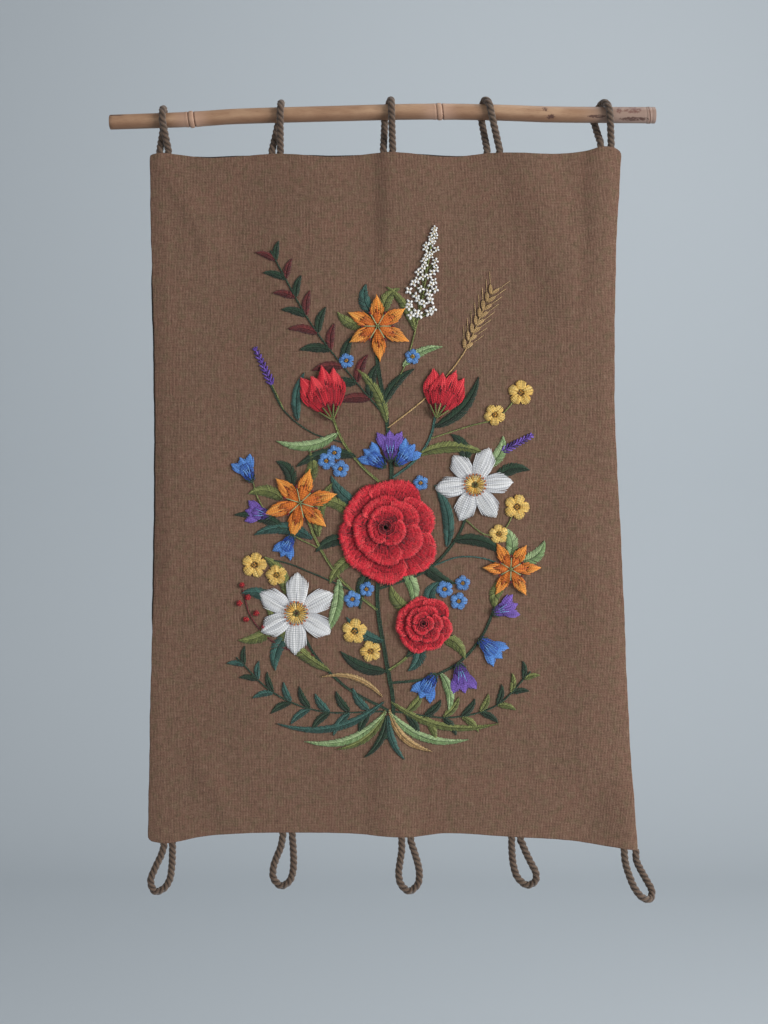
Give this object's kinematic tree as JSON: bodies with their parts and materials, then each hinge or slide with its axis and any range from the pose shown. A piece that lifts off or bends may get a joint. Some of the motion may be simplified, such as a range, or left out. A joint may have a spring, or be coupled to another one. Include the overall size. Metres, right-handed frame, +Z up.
{
  "type": "embroidered wall hanging on a bamboo rod",
  "caption": "Upright brown cloth panel with a wool-embroidered flower spray, lined in dark cloth, hung by twisted rope loops on a bamboo rod, with empty rope loops along its bottom edge.",
  "frame": {"origin": "on the bamboo rod's axis, halfway along the rod, where it is held up", "axes": "+Z up along the hanging cloth, +X along the rod to the viewer's right, -Y out of the embroidered face, +Y towards the wall"},
  "size_m": [0.5453, 0.0309, 0.8062],
  "materials": {
    "bamboo": "satin",
    "brown_cloth": "matte",
    "dark_lining": "matte",
    "brown_rope": "matte",
    "embroidery_wool": "matte"
  },
  "bodies": {
    "root": {"bamboo_rod": "bamboo", "front_cloth": "brown_cloth", "lining": "dark_lining", "top_loop_1": "brown_rope", "top_loop_2": "brown_rope", "top_loop_3": "brown_rope", "top_loop_4": "brown_rope", "top_loop_5": "brown_rope", "bottom_loop_1": "brown_rope", "bottom_loop_2": "brown_rope", "bottom_loop_3": "brown_rope", "bottom_loop_4": "brown_rope", "bottom_loop_5": "brown_rope"}
  },
  "joints": []
}
